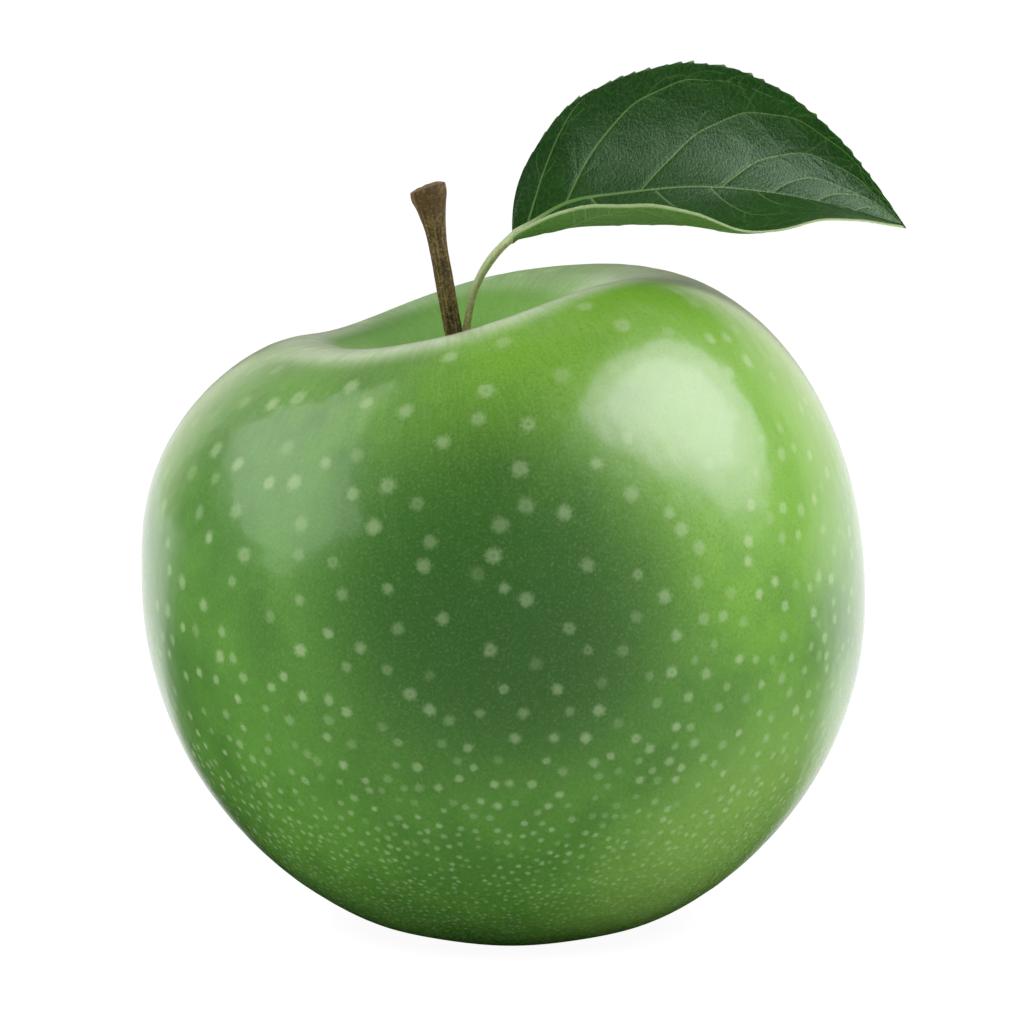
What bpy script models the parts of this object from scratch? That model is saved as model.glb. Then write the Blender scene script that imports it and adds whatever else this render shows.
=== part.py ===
"""A green apple as picked: the fruit, its woody stem, one leaf on its stalk, and the dried calyx
in the basin at the blossom end. Metres, +Z up. Shape dimensions are given in millimetres and
scaled once by MM. The apple's core line is x = y = 0 while it is modelled; the finished pieces
are then shifted together so that the origin is the bottom centre of the whole part's box."""

import math

import bmesh
import bpy
from mathutils import Vector

MM = 0.001

# Fruit: two superellipse halves joined at the girth
GIRTH_RADIUS = 39.9
SHOULDER_HEIGHT = 37.75
SHOULDER_FULLNESS = 2.274
LOWER_HEIGHT = 39.95
LOWER_FULLNESS = 1.973
CORE_LEAN = -0.91                    # sideways drift of the core line, stem end against blossom end

# Stem cavity: a funnel pressed into the shoulders, off centre
CAVITY_DEPTH = 18.0
CAVITY_RADIUS = 13.07
CAVITY_SLOPE = 1.714
CAVITY_SHIFT = (-3.03, -2.66)

# Uneven shoulders: (lobes round the stem, cosine part, sine part) as rise at the girth
SHOULDER_LOBES = ((2, -0.88, -0.84), (3, -2.84, -1.62), (5, -0.56, 0.38))
SHOULDER_TILT = (8.67, -0.57)

# Blossom end: basin, five soft foot lobes and the flats they stand on
BASIN_DEPTH = 8.6
BASIN_RADIUS = 8.0
FOOT_LOBES = 5
FOOT_LOBE_HEIGHT = 0.1
FOOT_RING_RADIUS = 12.0
FOOT_RING_WIDTH = 7.0
FOOT_FLAT = 0.2                      # height of skin taken up by the flats under the foot lobes

FRUIT_RINGS = 38
FRUIT_SEGMENTS = 60
POLE_CROWDING = 0.62                 # rings crowd towards both ends, where the shape turns fastest

GAP = 0.3                            # clearance between neighbouring solids

# Stem
STEM_TOP = (-8.25, -2.95, 82.1)
STEM_BASE_X = -3.8
STEM_SEAT = 1.0                      # its square end stands clear of the narrowing cavity floor
STEM_RADIUS = 1.05
STEM_KNOB_RADIUS = 1.9
STEM_KNOB_START = 0.66               # share of the length where the flare begins
STEM_FLARE_POWER = 1.6
STEM_CUT_TILT = math.radians(24)
STEM_RIM_SHARE = 0.8                 # the cut face is this share of the knob, inside a rounded rim
STEM_RIM_RISE = 0.25
STEM_RINGS = 18
STEM_SEGMENTS = 18

# Leaf: stalk and midrib on one line, blade hung on the midrib
LEAF_LINE = (
    (-3.5, -3.2, 65.8),
    (-3.1, -3.3, 70.2),
    (-1.8, -3.5, 73.4),
    (0.4, -3.7, 76.1),
    (2.9, -3.9, 77.9),
    (6.9, -4.0, 80.3),
    (12.1, -4.0, 81.3),
    (22.0, -4.1, 82.1),
    (33.0, -4.6, 80.8),
    (43.6, -5.6, 77.9),
)
STALK_RADIUS_LOW = 0.38
STALK_RADIUS_HIGH = 0.66
BLADE_START_X = 0.9
BLADE_HALF_WIDTH = 15.1
BLADE_BASE_ROUNDNESS = 0.3           # width grows as this power of the way along, a blunt round base
BLADE_TIP_POWER = 3.0                # and closes as one minus this power, a pointed tip
NEAR_BASE_SHARE = 0.14               # the near half reaches its full width this far along
NEAR_BASE_ROUNDNESS = 0.3
# Near margin against the midrib: (height, place along the blade, spread along the blade)
NEAR_BASE_LIFT = (0.8, 0.0, 0.3)
NEAR_DROOP = (3.0, 0.6, 0.16)
NEAR_TROUGH = (2.7, 0.33, 0.3)
STEEPEST_CLIMB = 0.8                 # rise over surface length that the near half keeps under
SECTION_STEPS = 60
FAR_SLOPE_MIDRIB = math.radians(40)  # the far half climbs from the midrib
FAR_SLOPE_MARGIN = math.radians(85)
BLADE_HALF_THICKNESS = 0.17
MARGIN_HALF_THICKNESS = 0.12
MIDRIB_TIP_RADIUS = 0.14
MIDRIB_BLEND = 1.6                   # the round midrib has turned into sheet at this many radii out
STALK_STATIONS = 13
BLADE_STATIONS = 31
POINTS_ACROSS = 15

# Calyx: five dried sepals round a small cup, hanging in the basin
CALYX_CUP_RADIUS = 2.1
CALYX_SEPAL_LENGTH = 4.0
CALYX_SEPAL_SPREAD = 1.5
CALYX_WALL = 0.5
CALYX_NOTCH_LENGTH = 1.3             # length of the cup between two sepals
CALYX_POINTEDNESS = 1.5
# Rings from the closed top down the outside and back up the inside: (share of the radius,
# share of the length, 0 outside or 1 inside)
CALYX_RINGS = (
    (0.45, 0.0, 0.0), (1.0, 0.1, 0.0), (1.0, 0.35, 0.0), (1.0, 0.7, 0.0), (1.0, 1.0, 0.0),
    (1.0, 1.0, 1.0), (1.0, 0.7, 1.0), (1.0, 0.45, 1.0), (0.4, 0.4, 1.0),
)
CALYX_SEGMENTS = 60


def smooth(value):
    """Eased step from 0 to 1."""
    value = min(max(value, 0.0), 1.0)
    return value * value * (3 - 2 * value)


def skin_point(turn, angle):
    """Skin point in mm above the girth plane. turn: 0 at the stem end to pi at the blossom end."""
    upper = turn < math.pi / 2
    power = 2 / (SHOULDER_FULLNESS if upper else LOWER_FULLNESS)
    half_height = SHOULDER_HEIGHT if upper else LOWER_HEIGHT
    radius = GIRTH_RADIUS * math.sin(turn) ** power
    height = math.copysign(half_height * abs(math.cos(turn)) ** power, math.cos(turn))
    reach = radius / GIRTH_RADIUS
    x = radius * math.cos(angle) + CORE_LEAN * math.cos(turn)
    y = radius * math.sin(angle)
    if upper:
        rise = smooth(height / SHOULDER_HEIGHT)
        height -= CAVITY_DEPTH * math.exp(-((radius / CAVITY_RADIUS) ** CAVITY_SLOPE))
        lift = reach * (SHOULDER_TILT[0] * math.cos(angle) + SHOULDER_TILT[1] * math.sin(angle))
        for count, cosine, sine in SHOULDER_LOBES:
            lift += reach**2 * (cosine * math.cos(count * angle) + sine * math.sin(count * angle))
        height += rise * lift
        x += CAVITY_SHIFT[0] * rise * (1 - reach / 2)
        y += CAVITY_SHIFT[1] * rise * (1 - reach / 2)
    else:
        height += BASIN_DEPTH * math.exp(-((radius / BASIN_RADIUS) ** 2))
        ring = math.exp(-(((radius - FOOT_RING_RADIUS) / FOOT_RING_WIDTH) ** 2))
        height -= FOOT_LOBE_HEIGHT * math.cos(FOOT_LOBES * (angle + math.pi / 2)) * ring
    return Vector((x, y, height))


def ring_turn(index):
    """Turn angle of ring number index, crowded towards the two ends."""
    even = math.pi * index / FRUIT_RINGS
    return even - POLE_CROWDING / 2 * math.sin(2 * even)


def floor_height():
    """Height of the lowest skin, which the foot flats are cut just above, under the girth plane."""
    turns = [ring_turn(i) for i in range(FRUIT_RINGS // 2, FRUIT_RINGS)]
    return min(skin_point(t, -math.pi / 2).z for t in turns) + FOOT_FLAT


def settled(point, floor):
    """The skin point above the floor it stands on."""
    return Vector((point.x, point.y, max(point.z, floor) - floor))


def new_material(name, colour, roughness):
    """A plain Principled material."""
    material = bpy.data.materials.new(name)
    material.use_nodes = True
    shader = material.node_tree.nodes["Principled BSDF"]
    shader.inputs["Base Color"].default_value = (*colour, 1)
    shader.inputs["Roughness"].default_value = roughness
    shader.inputs["Metallic"].default_value = 0
    return material


def loft(name, rings, material, low_point=None, high_point=None):
    """Closed solid through rings of points in mm, capped by a point or a flat face at each end."""
    build = bmesh.new()
    rows = [[build.verts.new(point * MM) for point in ring] for ring in rings]
    count = len(rows[0])
    for low, high in zip(rows, rows[1:]):
        for i in range(count):
            j = (i + 1) % count
            build.faces.new((low[i], low[j], high[j], high[i]))
    for row, point, flip in ((rows[0], low_point, True), (rows[-1], high_point, False)):
        edge = list(reversed(row)) if flip else row
        if point is None:
            build.faces.new(edge)
            continue
        tip = build.verts.new(point * MM)
        for i in range(count):
            build.faces.new((edge[i], edge[(i + 1) % count], tip))
    bmesh.ops.recalc_face_normals(build, faces=build.faces)
    mesh = bpy.data.meshes.new(name)
    build.to_mesh(mesh)
    build.free()
    mesh.materials.append(material)
    mesh.shade_smooth()
    mesh.set_sharp_from_angle(angle=math.radians(50))
    piece = bpy.data.objects.new(name, mesh)
    bpy.context.scene.collection.objects.link(piece)
    return piece


def make_fruit(floor):
    """The whole apple skin as one closed solid."""
    rings = []
    for i in range(1, FRUIT_RINGS):
        angles = [2 * math.pi * j / FRUIT_SEGMENTS for j in range(FRUIT_SEGMENTS)]
        rings.append([settled(skin_point(ring_turn(i), a), floor) for a in angles])
    stem_end = settled(skin_point(0, 0), floor)
    blossom_end = settled(skin_point(math.pi, 0), floor)
    skin = new_material("apple_skin", (0.13, 0.31, 0.045), 0.3)
    return loft("fruit", rings, skin, stem_end, blossom_end)


def make_stem(floor):
    """Woody stem from the cavity floor to its flared, slanted cut end."""
    cavity = settled(skin_point(0, 0), floor)
    base = Vector((STEM_BASE_X, cavity.y, cavity.z + STEM_SEAT))
    top = Vector(STEM_TOP)
    rings = []
    for i in range(STEM_RINGS + 1):
        along = i / STEM_RINGS
        flare = smooth((along - STEM_KNOB_START) / (1 - STEM_KNOB_START)) ** STEM_FLARE_POWER
        radius = STEM_RADIUS + (STEM_KNOB_RADIUS - STEM_RADIUS) * flare
        centre = base.lerp(top, along)
        tilt = STEM_CUT_TILT * flare
        ring = []
        for j in range(STEM_SEGMENTS):
            angle = 2 * math.pi * j / STEM_SEGMENTS
            across = radius * math.cos(angle)
            depth = radius * math.sin(angle)
            ring.append(centre + Vector((across, depth, across * math.tan(tilt))))
        rings.append(ring)
    rise = Vector((0, 0, STEM_RIM_RISE))
    rings.append([top + (point - top) * STEM_RIM_SHARE + rise for point in rings[-1]])
    return loft("stem", rings, new_material("stem_wood", (0.11, 0.08, 0.03), 0.8))


def leaf_line(share):
    """Point and direction at share (0 to 1) of the knots along the stalk and midrib."""
    knots = [Vector(p) for p in LEAF_LINE]
    knots = [2 * knots[0] - knots[1], *knots, 2 * knots[-1] - knots[-2]]
    spans = len(LEAF_LINE) - 1
    place = min(share * spans, spans - 1e-9)
    index = int(place)
    f = place - index
    a, b, c, d = knots[index : index + 4]
    slope_b, slope_c = (c - a) / 2, (d - b) / 2
    point = (
        b * (2 * f**3 - 3 * f**2 + 1)
        + slope_b * (f**3 - 2 * f**2 + f)
        + c * (3 * f**2 - 2 * f**3)
        + slope_c * (f**3 - f**2)
    )
    direction = (
        b * (6 * f**2 - 6 * f)
        + slope_b * (3 * f**2 - 4 * f + 1)
        + c * (6 * f - 6 * f**2)
        + slope_c * (3 * f**2 - 2 * f)
    )
    return point, direction.normalized()


def share_at_x(x):
    """Share of the leaf line whose point has this x, found by halving."""
    low, high = 0.0, 1.0
    for _ in range(40):
        middle = (low + high) / 2
        if leaf_line(middle)[0].x < x:
            low = middle
        else:
            high = middle
    return low


def half_width(s):
    """Half width of the blade in mm at s, from 0 at its base to 1 at its tip."""
    a, c = BLADE_BASE_ROUNDNESS, BLADE_TIP_POWER
    widest = (a / (a + c)) ** (1 / c)
    shape = s**a * (1 - s**c)
    return BLADE_HALF_WIDTH * shape / (widest**a * (1 - widest**c))


def near_half_width(s):
    """Half width of the near half, which narrows more gently into the stalk."""
    return half_width(s) * min(1.0, (s / NEAR_BASE_SHARE) ** NEAR_BASE_ROUNDNESS)


def hump(s, height, place, spread, power):
    """Bell of the given height, place and spread along the blade, flatter on top as power grows."""
    return height * math.exp(-(((s - place) / spread) ** power))


def near_margin_rise(s):
    """Height of the near margin over the midrib: lifted at the base, drooping past the middle."""
    return hump(s, *NEAR_BASE_LIFT, 2) - hump(s, *NEAR_DROOP, 2)


def near_trough(s):
    """Depth of the trough that the near half makes between midrib and margin."""
    return hump(s, *NEAR_TROUGH, 4)


def blade_section(s):
    """Points (y, z) in mm from the midrib, near margin to far margin, with each one's normal."""
    near, far = [(0.0, 0.0)], [(0.0, 0.0)]
    for k in range(SECTION_STEPS):
        u = (k + 0.5) / SECTION_STEPS
        slope = FAR_SLOPE_MIDRIB + (FAR_SLOPE_MARGIN - FAR_SLOPE_MIDRIB) * u
        step = half_width(s) / SECTION_STEPS
        y, z = far[-1]
        far.append((y + step * math.cos(slope), z + step * math.sin(slope)))
        step = near_half_width(s) / SECTION_STEPS
        climb = (near_margin_rise(s) - 4 * near_trough(s) * (1 - 2 * u)) / SECTION_STEPS
        climb = max(min(climb, STEEPEST_CLIMB * step), -STEEPEST_CLIMB * step)
        y, z = near[-1]
        near.append((y - math.sqrt(step**2 - climb**2), z + climb))
    points, normals = [], []
    for k in range(POINTS_ACROSS):
        q = 2 * k / (POINTS_ACROSS - 1) - 1
        row = far if q >= 0 else near
        place = round(abs(q) ** 1.5 * SECTION_STEPS)
        before, after = row[max(place - 1, 0)], row[min(place + 1, SECTION_STEPS)]
        along = Vector((after[0] - before[0], after[1] - before[1]))
        along = along if q >= 0 else -along
        along = along.normalized() if along.length > 1e-9 else Vector((1, 0))
        points.append(Vector(row[place]))
        normals.append(Vector((-along.y, along.x)))
    return points, normals


def leaf_ring(share, s, core_radius, upright):
    """Closed loop round the stalk, or round the blade where s is above 0. The loop is square to
    the leaf line where upright is 0, and stands in a plane of one x where it is 1."""
    centre, direction = leaf_line(share)
    side = Vector((0, 1, 0))
    up = direction.cross(side).lerp(Vector((0, 0, 1)), upright).normalized()
    points, normals = blade_section(s)
    upper, lower = [], []
    for k, (point, normal) in enumerate(zip(points, normals)):
        angle = math.pi * (1 - (k + 0.5) / POINTS_ACROSS)
        edge = abs(2 * k / (POINTS_ACROSS - 1) - 1)
        sheet = BLADE_HALF_THICKNESS + (MARGIN_HALF_THICKNESS - BLADE_HALF_THICKNESS) * edge
        blade_part = smooth(point.length / (MIDRIB_BLEND * core_radius))
        for rows, sign in ((upper, 1), (lower, -1)):
            round_part = Vector((math.cos(angle), sign * math.sin(angle))) * core_radius
            offset = round_part.lerp(normal * sheet * sign, blade_part)
            place = point + offset
            rows.append(centre + side * place.x + up * place.y)
    return upper + lower[::-1]


def make_leaf():
    """Stalk, midrib and blade, which grew as one piece."""
    blade_start = share_at_x(BLADE_START_X)
    rings = []
    for i in range(STALK_STATIONS):
        f = i / STALK_STATIONS
        radius = STALK_RADIUS_LOW + (STALK_RADIUS_HIGH - STALK_RADIUS_LOW) * f**2
        rings.append(leaf_ring(blade_start * f, 0.0, radius, smooth((f - 0.5) / 0.5)))
    start_x, tip_x = BLADE_START_X, LEAF_LINE[-1][0]
    for i in range(BLADE_STATIONS + 1):
        s = (i / BLADE_STATIONS) ** 1.7
        radius = MIDRIB_TIP_RADIUS + (STALK_RADIUS_HIGH - MIDRIB_TIP_RADIUS) * (1 - s) ** 2
        rings.append(leaf_ring(share_at_x(start_x + (tip_x - start_x) * s), s, radius, 1.0))
    return loft("leaf", rings, new_material("leaf_green", (0.026, 0.07, 0.017), 0.4))


def make_calyx(floor):
    """Small dried cup with five pointed sepals hanging from the basin's roof."""
    roof = settled(skin_point(math.pi, 0), floor)
    top = roof.z - 2 * GAP
    rings = []
    for spread, drop, inside in CALYX_RINGS:
        ring = []
        for j in range(CALYX_SEGMENTS):
            angle = 2 * math.pi * j / CALYX_SEGMENTS
            lobe = (0.5 + 0.5 * math.cos(FOOT_LOBES * angle)) ** CALYX_POINTEDNESS
            length = CALYX_NOTCH_LENGTH + (CALYX_SEPAL_LENGTH - CALYX_NOTCH_LENGTH) * lobe
            curl = CALYX_SEPAL_SPREAD * lobe * drop**2
            radius = CALYX_CUP_RADIUS * spread + curl - CALYX_WALL * inside * spread
            down = CALYX_WALL + drop * length if drop else 0
            ring.append(Vector((
                roof.x + radius * math.cos(angle), roof.y + radius * math.sin(angle), top - down,
            )))
        rings.append(ring)
    return loft("calyx", rings, new_material("dry_sepal", (0.06, 0.038, 0.017), 0.9))


def centre_on_floor(pieces):
    """Shifts every piece so that the bottom centre of their common box is the origin."""
    corners = [vertex.co for piece in pieces for vertex in piece.data.vertices]
    low = Vector([min(c[axis] for c in corners) for axis in range(3)])
    high = Vector([max(c[axis] for c in corners) for axis in range(3)])
    shift = Vector((-(low.x + high.x) / 2, -(low.y + high.y) / 2, -low.z))
    for piece in pieces:
        for vertex in piece.data.vertices:
            vertex.co += shift


for old in list(bpy.data.objects):
    bpy.data.objects.remove(old)

floor_level = floor_height()
centre_on_floor([
    make_fruit(floor_level), make_stem(floor_level), make_leaf(), make_calyx(floor_level),
])
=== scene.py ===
import math

import bpy
import numpy as np
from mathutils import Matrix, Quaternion, Vector, kdtree


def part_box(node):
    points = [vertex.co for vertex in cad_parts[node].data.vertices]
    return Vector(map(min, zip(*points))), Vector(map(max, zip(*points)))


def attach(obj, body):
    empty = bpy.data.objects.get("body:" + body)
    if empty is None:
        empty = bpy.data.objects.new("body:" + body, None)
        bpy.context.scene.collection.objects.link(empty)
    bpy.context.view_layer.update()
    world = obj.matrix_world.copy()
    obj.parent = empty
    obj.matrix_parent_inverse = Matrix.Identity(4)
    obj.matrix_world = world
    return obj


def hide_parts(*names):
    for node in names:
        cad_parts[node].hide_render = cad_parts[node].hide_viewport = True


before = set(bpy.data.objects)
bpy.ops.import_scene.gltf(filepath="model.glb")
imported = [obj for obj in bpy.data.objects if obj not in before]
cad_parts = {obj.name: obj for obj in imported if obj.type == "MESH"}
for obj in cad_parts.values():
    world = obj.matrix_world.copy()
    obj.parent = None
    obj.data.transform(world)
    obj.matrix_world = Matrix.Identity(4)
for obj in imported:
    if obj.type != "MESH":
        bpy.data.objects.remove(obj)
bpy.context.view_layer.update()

mm = 0.001
fruitLow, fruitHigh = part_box("fruit")
coreX = (fruitLow.x + fruitHigh.x) / 2      # the apple's core line, which every piece is placed from
coreY = (fruitLow.y + fruitHigh.y) / 2
floorZ = fruitLow.z
print("frame loaded")


# small helpers for meshes

def ease(value):
    value = np.clip(value, 0, 1)
    return value * value * (3 - 2 * value)


def bell(value, width):
    return np.exp(-(value / width) ** 2)


def blend(low, high, share):
    return low + (high - low) * share


def circle(count):
    # evenly spaced angles of one full turn, as one row
    return (2 * math.pi * np.arange(count) / count)[None, :]


def stacked(*parts):
    return np.stack(np.broadcast_arrays(*parts), -1)


def unit(vectors):
    return vectors / np.maximum(np.linalg.norm(vectors, axis=-1, keepdims=True), 1e-9)


def waves(points, wavelength, seed, count=26):
    # smooth random relief between about -1 and 1, made of plain waves in many directions
    draw = np.random.default_rng(seed)
    total = np.zeros(points.shape[:-1])
    for _ in range(count):
        way = draw.normal(size=points.shape[-1])
        way *= 2 * math.pi / wavelength / np.linalg.norm(way) * draw.uniform(0.7, 1.4)
        total += np.sin(points @ way + draw.uniform(0, 2 * math.pi))
    return total / math.sqrt(count) * 0.9


def gridNormals(grid):
    # unit normals of a grid of points that closes on itself in its second direction
    around = (np.roll(grid, -1, axis=1) - np.roll(grid, 1, axis=1)) / 2
    return unit(np.cross(np.gradient(grid, axis=0), around))


def toWorld(points):
    return np.asarray(points) * mm + np.array([coreX, coreY, floorZ])


def bandFaces(rows, count, start=0):
    # the point numbers of every ring, and the quads between the rings
    number = np.arange(rows * count).reshape(rows, count) + start
    low, high = number[:-1], number[1:]
    quads = np.stack([low, np.roll(low, -1, 1), np.roll(high, -1, 1), high], -1)
    return number, quads.reshape(-1, 4).tolist()


def meshFrom(name, points, faces):
    mesh = bpy.data.meshes.new(name)
    mesh.from_pydata(toWorld(points).tolist(), [], faces)
    mesh.shade_smooth()
    return mesh


def setMark(mesh, label, values, domain="POINT"):
    # a number or a vector on every point or face, for the materials to read
    values = np.asarray(values, np.float32)
    vector = values.shape[1:] == (3,)
    layer = mesh.attributes.new(label, "FLOAT_VECTOR" if vector else "FLOAT", domain)
    layer.data.foreach_set("vector" if vector else "value", values.ravel())


def gridMesh(name, grid, marks, tips=(), flip=False):
    # closed skin over rings of points; its ends run to the two tips, or are flat without them
    rows, count = grid.shape[:2]
    number, faces = bandFaces(rows, count)
    for k, ring in enumerate((number[0][::-1], number[-1])):
        if len(tips):
            pairs = zip(ring.tolist(), np.roll(ring, -1).tolist())
            faces += [[a, b, rows * count + k] for a, b in pairs]
        else:
            faces.append(ring.tolist())
    if flip:
        faces = [face[::-1] for face in faces]
    mesh = meshFrom(name, np.vstack([grid.reshape(-1, 3), *tips]), faces)
    for label, values in marks.items():
        values = np.asarray(values, np.float32)
        ends = [values[0].mean(0), values[-1].mean(0)] if len(tips) else []
        setMark(mesh, label, np.vstack([values.reshape(rows * count, -1), *ends]))
    return mesh


def joinGrids(name, grids):
    # several closed grids as one mesh
    points, faces = [], []
    for grid in grids:
        number, band = bandFaces(*grid.shape[:2], start=sum(map(len, points)))
        faces += band + [number[0][::-1].tolist(), number[-1].tolist()]
        points.append(grid.reshape(-1, 3))
    return meshFrom(name, np.concatenate(points), faces)


def addPiece(name, mesh, material, slotName, *replaced):
    piece = bpy.data.objects.new(name, mesh)
    bpy.context.scene.collection.objects.link(piece)
    mesh.materials.append(material)
    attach(piece, "root")
    if replaced:
        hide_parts(*replaced)


# small helpers for materials; most of them find the node tree from the sockets they are given

def treeOf(*values):
    return next(value.id_data for value in values if isinstance(value, bpy.types.NodeSocket))


def setInputs(node, values):
    # a socket is linked, and anything else becomes the input's own value
    for name, value in values.items():
        socket = node.inputs[name]
        if isinstance(value, bpy.types.NodeSocket):
            node.id_data.links.new(value, socket)
        elif isinstance(value, tuple) and socket.type == "RGBA":
            socket.default_value = (*value, 1)
        else:
            socket.default_value = value


def addNode(tree, kind, values=None, **settings):
    made = tree.nodes.new("ShaderNode" + kind)
    for setting, value in settings.items():
        setattr(made, setting, value)
    setInputs(made, values or {})
    return made


def chain(operation, *values, clamp=False):
    # one maths node after another over two or more values
    total = values[0]
    for value in values[1:]:
        both = {0: total, 1: value}
        made = addNode(treeOf(total, value), "Math", both, operation=operation, use_clamp=clamp)
        total = made.outputs[0]
    return total


def plus(*values, clamp=False):
    return chain("ADD", *values, clamp=clamp)


def minus(*values):
    return chain("SUBTRACT", *values)


def times(*values, clamp=False):
    return chain("MULTIPLY", *values, clamp=clamp)


def larger(*values):
    return chain("MAXIMUM", *values)


def vectorMath(operation, *values):
    made = addNode(treeOf(*values), "VectorMath", dict(enumerate(values)), operation=operation)
    return made.outputs["Value" if operation in ("DOT_PRODUCT", "DISTANCE") else "Vector"]


def axes(vector):
    return addNode(vector.id_data, "SeparateXYZ", {"Vector": vector}).outputs


def ramp(value, start, end, low=0.0, high=1.0):
    # eases from low to high while the value goes from start to end
    values = {"Value": value, "From Min": start, "From Max": end, "To Min": low, "To Max": high}
    return addNode(value.id_data, "MapRange", values, interpolation_type="SMOOTHSTEP").outputs[0]


def mixColors(factor, a, b, blend="MIX"):
    values = {0: factor, 6: a, 7: b}
    made = addNode(treeOf(factor, a, b), "Mix", values, data_type="RGBA", blend_type=blend)
    return made.outputs[2]


def layColours(colour, look, *layers):
    # the look's colours one over another, each through its own mask
    for name, mask in layers:
        colour = mixColors(mask, colour, look[name])
    return colour


def mark(tree, name, output="Fac"):
    return addNode(tree, "Attribute", attribute_name=name).outputs[output]


def noise(vector, scale, detail, roughness=0.5, output="Fac"):
    values = {"Vector": vector, "Scale": scale, "Detail": detail, "Roughness": roughness}
    return addNode(vector.id_data, "TexNoise", values).outputs[output]


def bumpNormal(height, strength, distance):
    values = {"Height": height, "Strength": strength, "Distance": distance}
    return addNode(height.id_data, "Bump", values).outputs["Normal"]


def finish(shader, look, colour, rough, normal):
    values = {"Base Color": colour, "Roughness": rough, "Normal": normal}
    setInputs(shader, {**values, "Specular IOR Level": look["specular"], **look.get("more", {})})


def newMaterial(name):
    material = bpy.data.materials.new(name)
    material.use_nodes = True
    tree = material.node_tree
    return material, tree, tree.nodes["Principled BSDF"], addNode(tree, "TexCoord").outputs["Object"]


def newGroup(name, inputs, outputs):
    # an input without a value is a vector, and every other one is a number
    group = bpy.data.node_groups.new(name, "ShaderNodeTree")
    for label, value in inputs.items():
        kind = "NodeSocketVector" if value is None else "NodeSocketFloat"
        socket = group.interface.new_socket(label, in_out="INPUT", socket_type=kind)
        if value is not None:
            socket.default_value = value
    for label in outputs:
        group.interface.new_socket(label, in_out="OUTPUT", socket_type="NodeSocketFloat")
    return group, group.nodes.new("NodeGroupInput").outputs, group.nodes.new("NodeGroupOutput")


# effects that several materials share

def makeMottle():
    # uneven patches and fine speckle, 0 to 1 about a middle of 0.5
    inputs = {"Vector": None, "Scale": 100.0, "Detail": 3.0, "Contrast": 1.0}
    group, source, target = newGroup("mottle", inputs, ["Value"])
    patches = noise(source["Vector"], source["Scale"], source["Detail"], 0.6)
    spread = times(minus(patches, 0.5), source["Contrast"])
    setInputs(target, {"Value": plus(spread, 0.5, clamp=True)})
    return group


def makeStreaks():
    # thin uneven lines that run along the third axis of the vector
    inputs = {"Vector": None, "Fineness": 40.0, "Stretch": 0.1, "Threshold": 0.5}
    group, source, target = newGroup("streaks", inputs, ["Lines", "Relief"])
    x, y, z = axes(source["Vector"])
    drawnOut = {"X": x, "Y": y, "Z": times(z, source["Stretch"])}
    relief = noise(addNode(group, "CombineXYZ", drawnOut).outputs[0], source["Fineness"], 3.0, 0.65)
    lines = ramp(relief, source["Threshold"], plus(source["Threshold"], 0.16))
    setInputs(target, {"Lines": lines, "Relief": relief})
    return group


mottle = makeMottle()
streaks = makeStreaks()
print("shared effects made")


def mottled(vector, scale, detail, contrast):
    values = {"Vector": vector, "Scale": scale, "Detail": detail, "Contrast": contrast}
    return addNode(vector.id_data, "Group", values, node_tree=mottle).outputs["Value"]


def streaked(vector, fineness, stretch, threshold):
    values = {"Vector": vector, "Fineness": fineness, "Stretch": stretch, "Threshold": threshold}
    return addNode(vector.id_data, "Group", values, node_tree=streaks).outputs


# camera: a long lens a little above the fruit's middle

camera = {"distance": 0.6, "elevation": 9.47, "aimAside": 0.91, "aimHeight": 45.7, "viewWidth": 112.993}
sensorWidth = 36.0


def makeCamera():
    data = bpy.data.cameras.new("camera")
    data.sensor_width = sensorWidth
    data.lens = sensorWidth * camera["distance"] / (camera["viewWidth"] * mm)
    data.clip_start = 0.01
    lookOut = bpy.data.objects.new("camera", data)
    bpy.context.scene.collection.objects.link(lookOut)
    aim = Vector(toWorld([camera["aimAside"], 0, camera["aimHeight"]]))
    lift = math.radians(camera["elevation"])
    lookOut.location = aim + Vector((0, -math.cos(lift), math.sin(lift))) * camera["distance"]
    lookOut.rotation_euler = (math.pi / 2 - lift, 0, 0)
    bpy.context.scene.camera = lookOut


makeCamera()
print("camera made")


# the fruit; lengths are in mm

fruit = {
    "girthRadius": (fruitHigh.x - fruitLow.x) / 2 / mm,
    "shoulderHeight": 37.75, "shoulderFullness": 2.274,
    "lowerHeight": 39.95, "lowerFullness": 1.973,
    "coreLean": -0.91,
    "cavityDepth": 18.0, "cavityRadius": 13.07, "cavitySlope": 1.714,
    "cavityShift": (-3.03, -2.66),
    "shoulderLobes": ((2, -0.88, -0.84), (3, -2.84, -1.62), (5, -0.56, 0.38)),
    "shoulderTilt": (8.67, -0.57),
    "basinDepth": 8.6, "basinRadius": 8.0,
    "footLobes": 5, "footLobeHeight": 0.1, "footRingRadius": 12.0, "footRingWidth": 7.0,
    "footFlat": 0.2,
    "rings": 300, "segments": 420, "poleCrowding": 0.55,
    "undulation": 0.05, "undulationLength": 16, "dimpling": 0.012, "dimpleLength": 2.6,
    "creaseDepth": 0.035, "creaseLength": 0.62, "puckers": 10, "puckerDepth": 0.16,
    "collarHeight": 0.9, "collarRadius": 2.2,
}


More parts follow.
